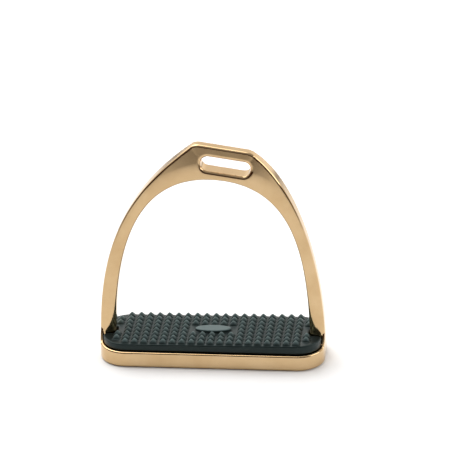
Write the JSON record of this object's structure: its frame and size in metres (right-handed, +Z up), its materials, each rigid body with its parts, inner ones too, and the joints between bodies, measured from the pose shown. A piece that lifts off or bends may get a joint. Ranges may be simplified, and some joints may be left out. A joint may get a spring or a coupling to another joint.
{
  "type": "stirrup iron",
  "caption": "Polished cast stirrup iron with a slanted offset leather slot and a lift-out studded rubber tread.",
  "frame": {"origin": "on the ground, under the middle of the base", "axes": "+X along the tread towards the lower shoulder of the crown, -Y the front, +Z up"},
  "size_m": [0.1402, 0.046, 0.1429],
  "materials": {
    "polished_metal": "mirror polished casting, fine wear on the edges",
    "tread_rubber": "moulded black rubber, satin, slightly dusty on the studs"
  },
  "bodies": {
    "iron": {"iron_casting": "polished_metal"},
    "tread": {"tread_pad": "tread_rubber"}
  },
  "joints": [
    {"name": "tread_lift", "type": "slide", "parent": "iron", "child": "tread", "axis": [0, 0, 1], "range_m": [0, 0.009]}
  ]
}
